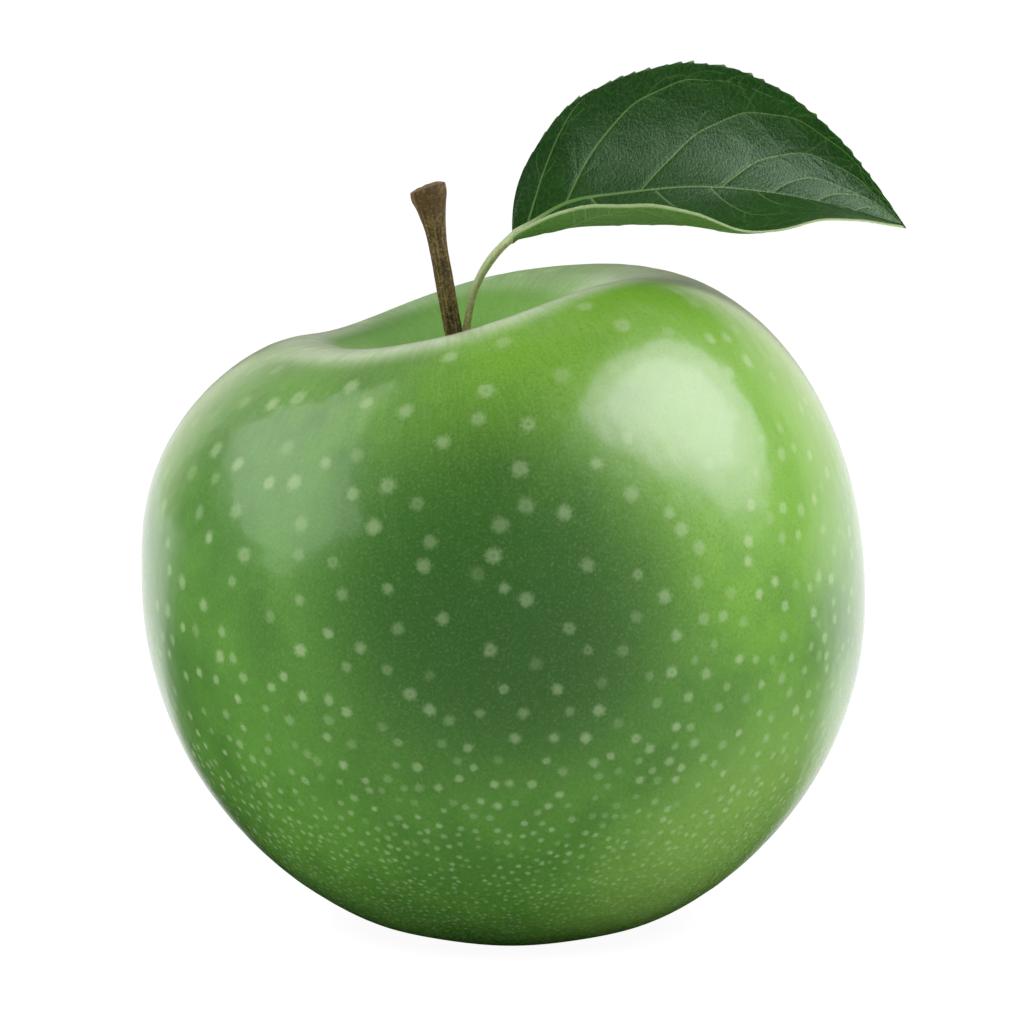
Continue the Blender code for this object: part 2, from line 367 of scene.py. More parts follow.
def skinShape(turn, angle):
    # points of the plain skin in mm; turn goes from 0 at the stem end to pi at the blossom end
    f = fruit
    upper = turn < math.pi / 2
    power = np.where(upper, 2 / f["shoulderFullness"], 2 / f["lowerFullness"])
    half = np.where(upper, f["shoulderHeight"], f["lowerHeight"])
    radius = f["girthRadius"] * np.sin(turn) ** power
    z = np.sign(np.cos(turn)) * half * np.abs(np.cos(turn)) ** power
    reach = radius / f["girthRadius"]
    x = radius * np.cos(angle) + f["coreLean"] * np.cos(turn)
    y = radius * np.sin(angle)
    rise = np.where(upper, ease(z / f["shoulderHeight"]), 0)
    across, along = f["shoulderTilt"]
    lift = reach * (across * np.cos(angle) + along * np.sin(angle))
    for count, cosine, sine in f["shoulderLobes"]:
        lift = lift + reach**2 * (cosine * np.cos(count * angle) + sine * np.sin(count * angle))
    funnel = f["cavityDepth"] * np.exp(-((radius / f["cavityRadius"]) ** f["cavitySlope"]))
    ring = bell(radius - f["footRingRadius"], f["footRingWidth"])
    foot = f["footLobeHeight"] * np.cos(f["footLobes"] * (angle + math.pi / 2)) * ring
    basin = f["basinDepth"] * bell(radius, f["basinRadius"])
    z = z + np.where(upper, rise * lift - funnel, basin - foot)
    x = x + f["cavityShift"][0] * rise * (1 - reach / 2)
    y = y + f["cavityShift"][1] * rise * (1 - reach / 2)
    return np.stack([x, y, z], -1), radius


def footLevel():
    turns = np.linspace(math.pi / 2, math.pi, 4000)
    points, _ = skinShape(turns, np.full_like(turns, -math.pi / 2))
    return points[:, 2].min() + fruit["footFlat"]


def makeFruitMesh():
    f = fruit
    even = math.pi * np.arange(1, f["rings"]) / f["rings"]
    turn = (even - f["poleCrowding"] / 2 * np.sin(2 * even))[:, None]
    angle = circle(f["segments"])
    grid, radius = skinShape(*np.broadcast_arrays(turn, angle))
    level = footLevel()
    way = stacked(np.cos(angle), np.sin(angle), turn / math.pi)
    normal = -gridNormals(grid)
    free = ease((grid[..., 2] - level) / 4)
    relief = f["undulation"] * waves(grid, f["undulationLength"], 3)
    relief = relief + f["dimpling"] * waves(grid, f["dimpleLength"], 4, 40)
    # fine folds run down the cavity wall, and pleats gather round the calyx
    creases = waves(way[..., :2] * 3, f["creaseLength"], 5, 30)
    top = (turn < math.pi / 2) + 0 * angle
    relief = relief + f["creaseDepth"] * creases * top * bell(radius - 7.5, 5.5)
    pleats = np.cos(f["puckers"] * angle + 0.6 * creases)
    relief = relief + f["puckerDepth"] * pleats * (1 - top) * bell(radius - 4.0, 3.0)
    grid = grid + normal * (relief * np.where(top > 0, 1, free))[..., None]
    # skin climbs a little where the stem leaves it
    grid[..., 2] += top * f["collarHeight"] * bell(radius, f["collarRadius"])
    grid[..., 2] = np.maximum(grid[..., 2], level) - level
    marks = {"skinWay": way, "coreReach": radius}
    mesh = gridMesh("fruit_skin", grid, marks, (grid[0].mean(0), grid[-1].mean(0)), flip=True)
    turns = ((turn[:-1] + turn[1:]) / 2 / math.pi + 0 * angle).ravel()
    scatterPores(mesh, turns)
    return mesh


# for every height share of the skin: how far apart the pores stand and how wide they are, in mm
pores = {
    "heights": (0.0, 0.25, 0.42, 0.50, 0.57, 0.61, 0.67, 0.72, 0.78, 1.0),
    "gaps": (6.2, 5.8, 4.8, 4.0, 3.1, 2.3, 1.5, 1.15, 0.95, 0.95),
    "radii": (1.35, 1.35, 1.15, 1.00, 0.86, 0.72, 0.54, 0.42, 0.35, 0.33),
    "firstHeight": 0.13, "lastHeight": 0.955, "tries": 26000, "seed": 8,
    "crowdedSide": 0.3, "crowdedHeight": 0.62, "crowdedFade": 0.1, "crowdedThinning": 0.5,
    "leeway": (0.5, 1.25), "sizes": (0.78, 1.1), "strengths": (0.35, 1.0),
}


def readMesh(items, label, kind=float, width=1):
    values = np.empty(len(items) * width, kind)
    items.foreach_get(label, values)
    return values.reshape(-1, width) if width > 1 else values


def scatterPores(mesh, turns):
    # seeded spots on the skin, none closer than the gap; every face is told about its nearest one
    p = pores
    draw = np.random.default_rng(p["seed"])
    count = len(turns)
    corners = readMesh(mesh.vertices, "co", width=3)
    quads = readMesh(mesh.loops, "vertex_index", int)[:count * 4].reshape(-1, 4)
    areas = readMesh(mesh.polygons, "area")[:count]
    middles = readMesh(mesh.polygons, "center", width=3)
    outward = unit(middles[:count] - [coreX, coreY, fruitHigh.z / 2])
    crowded = ease(outward[:, 0]) * p["crowdedSide"]
    crowded = crowded * ease((p["crowdedHeight"] - turns) / p["crowdedFade"])
    gaps = np.interp(turns, p["heights"], p["gaps"]) * (1 - crowded)
    radii = np.interp(turns, p["heights"], p["radii"]) * (1 - p["crowdedThinning"] * crowded)
    chance = areas / gaps**2 * (turns > p["firstHeight"]) * (turns < p["lastHeight"])
    chosen = draw.choice(count, p["tries"], p=chance / chance.sum())
    u, v = draw.random((2, p["tries"], 1))
    a, b, c, d = (corners[quads[chosen, k]] for k in range(4))
    spots = (a * (1 - u) + b * u) * (1 - v) + (d * (1 - u) + c * u) * v
    free = gaps[chosen] * draw.uniform(*p["leeway"], p["tries"]) * mm
    kept = []
    places = np.empty((p["tries"], 3))
    for k in range(p["tries"]):
        near = places[:len(kept)] - spots[k]
        if (np.einsum("ij,ij->i", near, near) < free[k] ** 2).any():
            continue
        places[len(kept)] = spots[k]
        kept.append(k)
    size = radii[chosen[kept]] * draw.uniform(*p["sizes"], len(kept)) * mm
    strength = draw.uniform(*p["strengths"], len(kept))
    ring = draw.uniform(0, 1, len(kept)) ** 2
    tree = kdtree.KDTree(len(kept))
    for k in range(len(kept)):
        tree.insert(places[k], k)
    tree.balance()
    nearest = np.array([tree.find(middle)[1] for middle in middles])
    told = {"poreCentre": places, "poreRadius": size, "poreStrength": strength, "poreRing": ring}
    for label, values in told.items():
        setMark(mesh, label, values[nearest], "FACE")
    print("pores placed:", len(kept))


skinLook = {
    # painted light among these: the wall's lighter green, the flank's glow, the whitish sheen and
    # partly the sunny yellow green; deep green also lays painted shade on the front face
    "deep": (0.028, 0.118, 0.014), "leafGreen": (0.100, 0.280, 0.030), "sunSideAndLight": (0.168, 0.400, 0.016),
    "flankPaintedGlow": (0.26, 0.47, 0.085), "wallPaintedLight": (0.24, 0.56, 0.075), "pale": (0.42, 0.60, 0.24),
    "paintedSheen": (0.62, 0.75, 0.50), "russet": (0.17, 0.17, 0.05), "dot": (0.43, 0.58, 0.29),
    # the way each tint faces, then its span: from, to, and the least and most of it
    "shadeFace": (0.0, -0.985, 0.17), "shadeSpan": (0.82, 1.0, 0.0, 0.9), "shadeUneven": 0.12,
    "sunFace": (0.46, -0.41, 0.78), "sunSpan": (0.40, 1.0), "sunUneven": 0.5,
    "flankFace": (0.66, -0.42, -0.62), "flankSpan": (0.78, 0.99, 0.0, 0.60),
    "wallSpan": (17.5, 11.0, 0.0, 0.5), "lines": 0.05, "brushed": 0.10, "wallPaintedSheen": 0.06,
    "poreHollow": 0.45, "poreSpan": (0.50, 0.80, 0.50, 0.44), "poreShade": 0.16,
    "roughness": 0.31, "grainRoughness": 0.10, "jointRoughness": 0.35, "poreRoughness": 0.30,
    "dullRoughness": 0.20, "coat": 0.8, "coatFar": 0.12, "specular": 0.62,
    "more": {"Coat Roughness": 0.155, "Subsurface Weight": 0.12, "Subsurface Radius": (0.8, 1.0, 0.3),
             "Subsurface Scale": 0.0015},
}


def makeSkinMaterial():
    look = skinLook
    material, tree, shader, place = newMaterial("apple_skin")
    way = mark(tree, "skinWay", "Vector")
    reach = mark(tree, "coreReach")
    aside, depth, turn = axes(way)

    # ground colour: painted shade in deep green on the front face, yellow green on the sunny shoulder
    outward = vectorMath("NORMALIZE", vectorMath("SUBTRACT", place, (coreX, coreY, fruitHigh.z / 2)))
    broad, small = mottled(place, 60.0, 2.0, 1.3), mottled(place, 170.0, 3.0, 1.5)
    uneven = plus(times(broad, 0.6), times(small, 0.4))
    shadeWay, sunWay, flankWay = (vectorMath("DOT_PRODUCT", outward, look[face])
                                  for face in ("shadeFace", "sunFace", "flankFace"))
    shadeWay = plus(shadeWay, times(minus(uneven, 0.5), look["shadeUneven"]))
    # the sunny shoulder's yellow green is partly the fruit's own sun side and partly painted light
    sunWay = plus(sunWay, times(minus(uneven, 0.5), look["sunUneven"]))
    # painted shade: the front face is turned deep green
    shade = ramp(shadeWay, *look["shadeSpan"])
    grain = mottled(place, 3300.0, 2.0, 1.5)
    base = mixColors(times(ramp(uneven, 0.75, 0.3), 0.45), look["leafGreen"], look["deep"])
    base = layColours(
        base, look, ("sunSideAndLight", ramp(sunWay, *look["sunSpan"])), ("deep", shade),
        # painted light: a light green glow low on the right flank, and a lighter green on the cavity's
        # wall
        ("flankPaintedGlow", ramp(flankWay, *look["flankSpan"])), ("wallPaintedLight", ramp(reach, *look["wallSpan"])),
        ("pale", ramp(grain, 0.45, 0.95, 0.0, 0.10)), ("deep", ramp(grain, 0.5, 0.1, 0.0, 0.26)))

    # soft pale lines, partly painted sheen, run down over the shoulder, and a painted whitish highlight
    # lies on the cavity's lip
    lines = streaked(way, 40.0, 0.42, 0.46)
    brushed = streaked(way, 135.0, 0.42, 0.5)
    shoulder = ramp(turn, 0.46, 0.12)
    pale = plus(times(lines["Lines"], look["lines"]), times(brushed["Lines"], look["brushed"]))
    pale = times(pale, shoulder, ramp(reach, 8.0, 20.0, 0.4, 1.0))
    inward = plus(reach, times(larger(aside, 0.0), 4.0))
    # painted highlight: whitish on the cavity's lip, strongest on its front half
    lip = times(ramp(inward, 14.5, 17.5), ramp(reach, 24.5, 19.5), ramp(depth, 0.25, 0.85, 1.0, 0.3),
                ramp(turn, 0.42, 0.36), ramp(lines["Relief"], 0.35, 0.62, 0.75, 1.0),
                ramp(grain, 0.2, 0.75, 0.8, 1.0))
    # painted reflection: whitish streaks down the cavity's wall
    wall = ramp(brushed["Relief"], 0.42, 0.62, 0.0, look["wallPaintedSheen"])
    wall = times(ramp(reach, 16.0, 9.0), wall, shoulder)

    # breathing pores: large and few at the top, small and crowded under the fruit
    gap = vectorMath("DISTANCE", place, mark(tree, "poreCentre", "Vector"))
    near = times(chain("DIVIDE", gap, mark(tree, "poreRadius")), plus(noise(place, 2400.0, 3.0), 0.5))
    hollow = times(ramp(near, 0.42, 0.08), times(mark(tree, "poreRing"), look["poreHollow"]))
    spots = times(minus(ramp(near, 1.0, 0.22), hollow), mark(tree, "poreStrength"))
    # the pores fade into the painted shade on the front face
    dimmed = minus(ramp(turn, *look["poreSpan"]), times(shade, look["poreShade"]))
    spots = times(spots, dimmed, clamp=True)

    # corky tint where stem and calyx join the fruit
    joint = times(ramp(reach, 5.5, 1.2), ramp(mottled(place, 700.0, 4.0, 2.0), 0.15, 0.7, 0.4, 1.0))
    base = layColours(base, look, ("pale", pale), ("paintedSheen", larger(lip, wall)), ("dot", spots),
                      ("russet", joint))

    # the pores, the far side and the cavity's wall are duller
    dull = larger(ramp(axes(outward)[1], 0.18, 0.55), ramp(reach, 17.2, 14.2))
    rough = plus(look["roughness"], times(ramp(grain, 0.3, 0.8), look["grainRoughness"]),
                 times(joint, look["jointRoughness"]), times(spots, look["poreRoughness"]),
                 times(dull, look["dullRoughness"]))
    coat = times(ramp(dull, 0.0, 1.0, look["coat"], look["coatFar"]), ramp(spots, 0.0, 0.8, 1.0, 0.4))
    height = plus(times(mottled(place, 900.0, 3.0, 1.0), 0.5), times(spots, 0.25), times(grain, 0.22),
                  times(brushed["Relief"], times(shoulder, 0.5)))
    finish(shader, look, base, rough, bumpNormal(height, 0.25, 0.00012))
    setInputs(shader, {"Coat Weight": coat})
    return material


addPiece("fruit_skin", makeFruitMesh(), makeSkinMaterial(), "apple_skin", "fruit")
level = footLevel()
cavityFloor, basinRoof = (skinShape(np.array([turn]), np.zeros(1))[0][0] - [0, 0, level]
                          for turn in (0.0, math.pi))
print("fruit made")


# the stem

stem = {
    "baseX": -3.8, "top": (-8.25, -2.95, 82.1), "sunk": 0.4,
    "radius": 1.0, "knobRadius": 1.84, "knobStart": 0.69, "cutTilt": 22.0, "footSwell": 0.25,
    "rings": 240, "segments": 120, "fibreDepth": 0.06, "lumpDepth": 0.06,
    "capRings": 14, "lipHeight": 0.12, "sideDrop": 0.35,
    "dish": 0.28, "rimRound": 0.16, "cracks": 0.035,
}


def stemFibres(angle, along):
    # long ridges that wander slowly round the stem
    draw = np.random.default_rng(11)
    total = 0
    for count in range(4, 22):
        drift = draw.uniform(-1.6, 1.6) * along
        drift = drift + 0.6 * np.sin(draw.uniform(2, 7) * along + draw.uniform(0, 6))
        total = total + np.cos(count * angle + drift * 2 + draw.uniform(0, 2 * math.pi)) / count**0.35
    return total / 3.2


def makeStemMesh():
    s = stem
    base = np.array([s["baseX"], cavityFloor[1], cavityFloor[2] - s["sunk"]])
    top = np.array(s["top"])
    along = np.linspace(0, 1, s["rings"])[:, None]
    angle = circle(s["segments"])
    flare = ease((along - s["knobStart"]) / (1 - s["knobStart"])) ** 1.6
    swell = s["footSwell"] * bell(along, 0.07)
    lip = s["lipHeight"] * bell(along - 0.965, 0.03)
    radius = blend(s["radius"], s["knobRadius"], flare) + swell + lip
    fibres = stemFibres(angle, along * 3)
    place = stacked(np.cos(angle), np.sin(angle), along * 9)
    lumps = waves(place, 1.5, 12)
    radius = radius + s["fibreDepth"] * fibres * (1 - 0.8 * flare)
    radius = radius + s["lumpDepth"] * lumps * (0.25 + 0.75 * flare)
    tilt = math.tan(math.radians(s["cutTilt"])) * flare
    centre = base * (1 - along[..., None]) + top * along[..., None]
    across = radius * np.cos(angle)
    drop = -s["sideDrop"] * flare * np.maximum(np.cos(angle), 0) ** 2
    grid = centre + stacked(across, radius * np.sin(angle), across * tilt + drop)
    # cut end: rounded rim, then a dished and cracked face
    rim = grid[-1]
    middle = rim.mean(0)
    rings = [grid]
    inward = np.linspace(1, 0.05, s["capRings"])[None, :, None]
    cracks = waves(place[-1, :, None, :2] * inward, 0.5, 13)
    for k in range(1, s["capRings"]):
        share = k / s["capRings"]
        height = s["rimRound"] * math.sin(math.pi * min(share * 2.2, 1)) - s["dish"] * share
        ring = middle + (rim - middle) * (1 - share)
        ring[:, 2] += height + s["cracks"] * cracks[:, k] * (1 - share)
        rings.append(ring[None])
    full = np.concatenate(rings)
    shareUp = np.concatenate([along[:, 0], np.full(s["capRings"] - 1, 1.0)])
    cutFace = np.concatenate([np.zeros(s["rings"]), np.linspace(0.2, 1, s["capRings"] - 1)])
    marks = {
        "stemAlong": shareUp[:, None] + 0 * angle,
        "stemCut": cutFace[:, None] + 0 * angle,
        "stemRidge": np.concatenate([fibres * (1 - flare * 0.3), cracks[:, 1:].T]),
        "stemWay": stacked(np.cos(angle), np.sin(angle), shareUp[:, None] * 9),
    }
    return gridMesh("stem_wood", full, marks, (full[0].mean(0), full[-1].mean(0)))


stemLook = {
    "groove": (0.040, 0.025, 0.008), "bark": (0.118, 0.078, 0.023), "dry": (0.37, 0.26, 0.10),
    "foot": (0.060, 0.036, 0.012), "knob": (0.085, 0.045, 0.014), "cut": (0.24, 0.175, 0.075),
    "roughness": 0.82, "specular": 0.3,
}


def makeStemMaterial():
    look = stemLook
    material, tree, shader, place = newMaterial("stem_wood")
    ridge, along, cut = (mark(tree, name) for name in ("stemRidge", "stemAlong", "stemCut"))
    fibre = streaked(mark(tree, "stemWay", "Vector"), 7.0, 0.10, 0.5)["Relief"]
    speckle = mottled(place, 3000.0, 3.0, 2.8)
    patches = mottled(place, 330.0, 2.0, 1.6)
    height = plus(times(ridge, 0.5), times(fibre, 0.8))
    knob = times(ramp(along, 0.84, 0.96), ramp(patches, 0.35, 0.6, 0.35, 0.85))
    colour = mixColors(ramp(height, -0.1, 0.75), look["groove"], look["bark"])
    colour = layColours(
        colour, look, ("dry", times(ramp(height, 0.45, 1.1), 0.6)),
        ("dry", ramp(patches, 0.45, 0.85, 0.0, 0.18)), ("dry", ramp(speckle, 0.5, 0.9, 0.0, 0.40)),
        ("groove", ramp(speckle, 0.45, 0.1, 0.0, 0.5)), ("foot", ramp(along, 0.40, 0.05, 0.0, 0.65)),
        ("knob", knob), ("cut", ramp(cut, 0.0, 0.5, 0.0, 0.6)))
    relief = plus(fibre, times(speckle, 0.35))
    finish(shader, look, colour, look["roughness"], bumpNormal(relief, 0.7, 0.00018))
    return material


addPiece("stem_wood", makeStemMesh(), makeStemMaterial(), "stem_wood", "stem")
print("stem made")


# the leaf

leaf = {
    "line": (
        (-4.25, -3.1, 65.3), (-3.35, -3.3, 70.2), (-1.9, -3.5, 73.4), (0.35, -3.7, 76.1),
        (2.9, -3.9, 77.9), (6.9, -4.0, 80.3), (12.1, -4.0, 81.3), (22.0, -4.1, 82.1),
        (33.0, -4.6, 80.8), (43.6, -5.6, 77.9),
    ),
    "bladeStartX": 0.9, "halfWidth": 15.1, "baseRoundness": 0.3, "tipPower": 3.0,
    "nearBaseShare": 0.14, "nearBaseRoundness": 0.3, "steepestClimb": 0.8,
    "slopeMidrib": 40.0, "slopeMargin": 85.0,
    "stalkRadiusLow": 0.38, "stalkRadiusHigh": 0.66, "ribRadiusTip": 0.12, "stalkFoot": 0.25,
    "thickness": 0.13, "marginThickness": 0.10,
    "toothSpacing": 1.60, "toothHeight": 0.36, "toothHook": 0.16,
    "stalkStations": 70, "bladeStations": 330, "pointsAcross": 201,
    "quilting": 0.045, "veinGroove": 0.07, "veinRidge": 0.14, "ripple": 0.05,
}


def catmullRom(knots, share):
    # points on a smooth curve through the knots, share 0 to 1
    knots = np.array(knots, float)
    padded = np.vstack([2 * knots[0] - knots[1], knots, 2 * knots[-1] - knots[-2]])
    spans = len(knots) - 1
    place = np.minimum(np.asarray(share, float) * spans, spans - 1e-9)
    index = place.astype(int)
    f = (place - index)[:, None]
    a, b, c, d = (padded[index + k] for k in range(4))
    return (b * (2 * f**3 - 3 * f**2 + 1) + (c - a) / 2 * (f**3 - 2 * f**2 + f)
            + c * (3 * f**2 - 2 * f**3) + (d - b) / 2 * (f**3 - f**2))


def halfWidthAt(s):
    a, c = leaf["baseRoundness"], leaf["tipPower"]
    widest = (a / (a + c)) ** (1 / c)
    return leaf["halfWidth"] * s**a * (1 - s**c) / (widest**a * (1 - widest**c))


def nearWidthAt(s):
    return halfWidthAt(s) * np.minimum(1, (s / leaf["nearBaseShare"]) ** leaf["nearBaseRoundness"])


def bladeSections(s, farWidth, nearWidth, steps=120):
    # for every station, the section's (y, z) from the midrib outwards, far half and near half
    u = ((np.arange(steps) + 0.5) / steps)[None, :]
    slope = np.radians(blend(leaf["slopeMidrib"], leaf["slopeMargin"], u))
    step = farWidth[:, None] / steps
    far = np.cumsum(stacked(step * np.cos(slope), step * np.sin(slope)), 1)
    step = nearWidth[:, None] / steps
    rise = 0.8 * bell(s, 0.3) - 3.0 * bell(s - 0.6, 0.16)
    trough = 2.7 * np.exp(-(((s - 0.33) / 0.3) ** 4))
    climb = (rise[:, None] - 4 * trough[:, None] * (1 - 2 * u)) / steps
    limit = leaf["steepestClimb"] * step
    climb = np.clip(climb, -limit, limit)
    near = np.cumsum(stacked(-np.sqrt(step**2 - climb**2), climb), 1)
    zero = np.zeros((len(s), 1, 2))
    return np.concatenate([zero, far], 1), np.concatenate([zero, near], 1)


# where each side vein leaves the midrib (mm), how far out it ends up as a share of the blade,
# and how soon
farVeins = ((1.55, 1.02, 2.3), (5.8, 0.90, 4.2), (13.9, 0.98, 10.0), (22.7, 0.80, 9.0),
            (28.2, 0.40, 3.8), (33.0, 0.62, 5.5), (37.0, 0.60, 3.6))
nearVeins = ((2.4, 0.98, 3.2), (8.5, 0.95, 7.0), (15.5, 0.95, 9.0), (21.5, 0.85, 9.0),
             (26.5, 0.75, 7.0), (31.5, 0.65, 5.0), (35.5, 0.60, 4.0))
twigs = {"step": 0.25, "thickness": 0.07, "every": 9, "skipped": 0.40, "bend": 0.035, "wander": 0.12}


def growVeins():
    # side veins and their twigs in the flat blade: place along the midrib and distance out, both in mm
    draw = np.random.default_rng(21)
    length = leaf["line"][-1][0] - leaf["bladeStartX"]

    def widthAt(place):
        return halfWidthAt(np.clip(place / length, 1e-4, 1))

    main, small = [], []
    for side, veins in ((1, farVeins), (-1, nearVeins)):
        for start, share, soon in veins:
            x = np.concatenate([np.linspace(0, 2, 14), np.arange(2.2, 30, 0.25)])
            place = start + x
            out = widthAt(place) * share * (1 - np.exp(-x / soon))
            out = out + 0.10 * np.sin(x * 1.1 + start) * ease(x / 4)
            keep = (place < length - 0.4) & (out < widthAt(place) * 0.97) & (x < 4.4 * soon + 6)
            last = len(x) if keep.all() else int(np.argmin(keep))
            thick = 0.20 * (1 - 0.45 * start / length) * (1 - 0.8 * np.arange(last) / max(last, 1))
            path = np.stack([place[:last], out[:last], thick], -1)
            main.append((side, path))
            for k in range(12, last - 3, twigs["every"]):
                if draw.random() < twigs["skipped"]:
                    continue
                k = min(k + int(draw.integers(-3, 4)), last - 2)
                bearing = math.atan2(path[k + 1, 1] - path[k, 1], path[k + 1, 0] - path[k, 0])
                for outward in (1, -1):
                    heading = bearing + draw.uniform(0.6, 1.1) * outward
                    reach = draw.uniform(2.6, 5.2) if outward > 0 else draw.uniform(1.4, 3.2)
                    x, y, gone = path[k, 0], path[k, 1], 0
                    twig = [(x, y, twigs["thickness"])]
                    while gone < reach:
                        heading -= twigs["bend"] * outward
                        heading -= draw.uniform(-twigs["wander"], twigs["wander"])
                        x += twigs["step"] * math.cos(heading)
                        y += twigs["step"] * math.sin(heading)
                        gone += twigs["step"]
                        if x > length - 0.3 or y > widthAt(x) * 0.975 or y < 0.15:
                            break
                        twig.append((x, y, twigs["thickness"] * (1 - 0.6 * gone / reach)))
                    if len(twig) > 3:
                        small.append((side, np.array(twig)))
    return main, small


def nearness(place, out, side, paths):
    # for every blade point, the distance to the closest vein, and that vein's half thickness
    flat = stacked(place, out)
    best = np.full(place.shape, 9.0)
    thick = np.full(place.shape, 0.1)
    for pathSide, path in paths:
        low, high = path[:, :2].min(0) - 2.5, path[:, :2].max(0) + 2.5
        beside = ((flat > low) & (flat < high)).all(-1)
        where = np.nonzero((side == pathSide) & beside)
        if not len(where[0]) or len(path) < 2:
            continue
        p = flat[where]
        a, b = path[:-1, :2], path[1:, :2]
        ab = b - a
        nearGap, nearThick = np.full(len(p), 9.0), np.full(len(p), 0.1)
        for k in range(len(a)):
            t = np.clip(((p - a[k]) @ ab[k]) / (ab[k] @ ab[k]), 0, 1)
            gap = np.linalg.norm(p - a[k] - t[:, None] * ab[k], axis=1)
            closer = gap < nearGap
            nearGap[closer] = gap[closer]
            nearThick[closer] = path[k, 2]
        closer = nearGap < best[where]
        rows, columns = where[0][closer], where[1][closer]
        best[rows, columns] = nearGap[closer]
        thick[rows, columns] = nearThick[closer]
    return best, thick


def makeLeafMesh():
    f = leaf
    fine = np.linspace(0, 1, 4001)
    curve = catmullRom(f["line"], fine)
    startShare = np.interp(f["bladeStartX"], curve[:, 0], fine)
    length = f["line"][-1][0] - f["bladeStartX"]
    stalk = np.arange(f["stalkStations"]) / f["stalkStations"]
    blade = np.linspace(0, 1, f["bladeStations"] + 1) ** 1.45
    bladeShare = np.interp(f["bladeStartX"] + length * blade, curve[:, 0], fine)
    share = np.concatenate([stalk * startShare, bladeShare])
    s = np.concatenate([np.zeros(len(stalk)), blade])
    upright = np.concatenate([ease((stalk - 0.5) / 0.5), np.ones(len(blade))])[:, None]
    stalkRadius = blend(f["stalkRadiusLow"], f["stalkRadiusHigh"], stalk**2)
    stalkRadius += f["stalkFoot"] * bell(stalk, 0.06)
    ribRadius = blend(f["ribRadiusTip"], f["stalkRadiusHigh"], (1 - blade) ** 4.5)
    radius = np.concatenate([stalkRadius, ribRadius])[:, None]
    centre = catmullRom(f["line"], share)
    further, nearer = np.minimum(share + 1e-3, 1), np.maximum(share - 1e-3, 0)
    ahead = unit(catmullRom(f["line"], further) - catmullRom(f["line"], nearer))
    side = np.array([0.0, 1.0, 0.0])
    up = unit(np.cross(ahead, side) * (1 - upright) + np.array([0, 0, 1.0]) * upright)

    widths = [halfWidthAt(s), nearWidthAt(s)]
    far, near = bladeSections(s, *widths)

    # teeth along both margins, pointing at the tip
    saws = []
    for number, plain in enumerate(widths):
        travelled = np.concatenate([[0], np.cumsum(np.hypot(np.diff(s * length), np.diff(plain)))])
        saw = (travelled / f["toothSpacing"] + 0.35 * number + 0.16 * np.sin(travelled * 0.9)) % 1
        saw = np.minimum(saw / 0.82, (1 - saw) / 0.18)
        size = 0.75 + 0.35 * np.sin(travelled * 2.3 + number) * np.sin(travelled * 0.7)
        size = size * (1 - 0.65 * number)     # the near margin is the smoother one
        saws.append(saw * size * ease(s / 0.02) * ease((1 - s) / 0.06))

    q = np.linspace(-1, 1, f["pointsAcross"])
    steps = far.shape[1] - 1
    section = np.zeros((len(s), len(q), 2))
    slopeWay = np.zeros((len(s), len(q), 2))
    for k, value in enumerate(q):
        row = far if value >= 0 else near
        spot = abs(value) * steps
        low = int(min(math.floor(spot), steps - 1))
        section[:, k] = blend(row[:, low], row[:, low + 1], spot - low)
        before, after = max(low - 2, 0), min(low + 3, steps)
        slopeWay[:, k] = (row[:, after] - row[:, before]) * (1 if value >= 0 else -1)
    size = np.linalg.norm(slopeWay, axis=2, keepdims=True)
    slopeWay = np.where(size > 1e-9, slopeWay / np.maximum(size, 1e-9), np.array([1.0, 0.0]))
    across = stacked(-slopeWay[..., 1], slopeWay[..., 0])

    place, edge, sides = np.broadcast_arrays((s * length)[:, None], np.abs(q), np.where(q >= 0, 1, -1))
    width, saw = (np.where(q >= 0, far[:, None], near[:, None]) for far, near in (widths, saws))
    rim = (1 - edge) * width
    toothReach = ease(1 - rim / 1.1)
    tooth = f["toothHeight"] * (saw**1.5 - 0.4) * toothReach * (saw > 0) * ease(width / 2)
    section = section + slopeWay * (sides * tooth)[..., None]
    out = edge * width
    main, small = growVeins()
    mainGap, mainThick = nearness(place, out, sides, main)
    twigGap, _ = nearness(place, out, sides, small)

    onBlade = (s > 0)[:, None] & (width > 0.4)
    soft = ease(width / 6) * ease(rim / 1.2 + 0.15)
    flat = stacked(place, out * sides)
    pillow = (1 - bell(mainGap, 1.5)) * (1 - bell(twigGap, 0.7) * 0.25) * (1 - bell(out, 1.6))
    pillow = pillow * (0.75 + 0.35 * waves(flat, 3.2, 22))
    groove = bell(mainGap, 0.30) * np.clip(mainThick / 0.2, 0.3, 1) + 0.4 * bell(twigGap, 0.2)
    quilt = f["quilting"] * pillow * soft
    upperRelief = quilt - f["veinGroove"] * groove * soft
    lowerRelief = -quilt + f["veinRidge"] * groove * soft
    ripple = f["ripple"] * np.sin(place * 1.05 + 1.3 * sides) * edge**4 * ease(width / 8)

    half = blend(f["thickness"], f["marginThickness"], edge**6)
    angle = math.pi * (1 - (np.arange(len(q)) + 0.5) / len(q))
    bladePart = ease(np.linalg.norm(section, axis=2) / (1.5 * radius))[..., None]
    hook = (f["toothHook"] * saw**2 * toothReach * ease(width / 2))[..., None] * ahead[:, None]
    faces = []
    for sign, relief, ribHeight in ((1, upperRelief, 0.42), (-1, lowerRelief, 1.0)):
        squash = 1 + (ribHeight - 1) * ease(s / 0.10)[:, None]
        roundPart = stacked(np.cos(angle), sign * np.sin(angle) * squash) * radius[..., None]
        sheet = across * (sign * (half + relief * onBlade))[..., None]
        offset = roundPart * (1 - bladePart) + sheet * bladePart
        local = section + offset + stacked(0, ripple * onBlade)
        faces.append(centre[:, None] + hook + local[..., :1] * side + local[..., 1:] * up[:, None])

    def both(upper, lower=None):
        lower = upper if lower is None else lower
        return np.concatenate([upper, lower[:, ::-1]], 1)

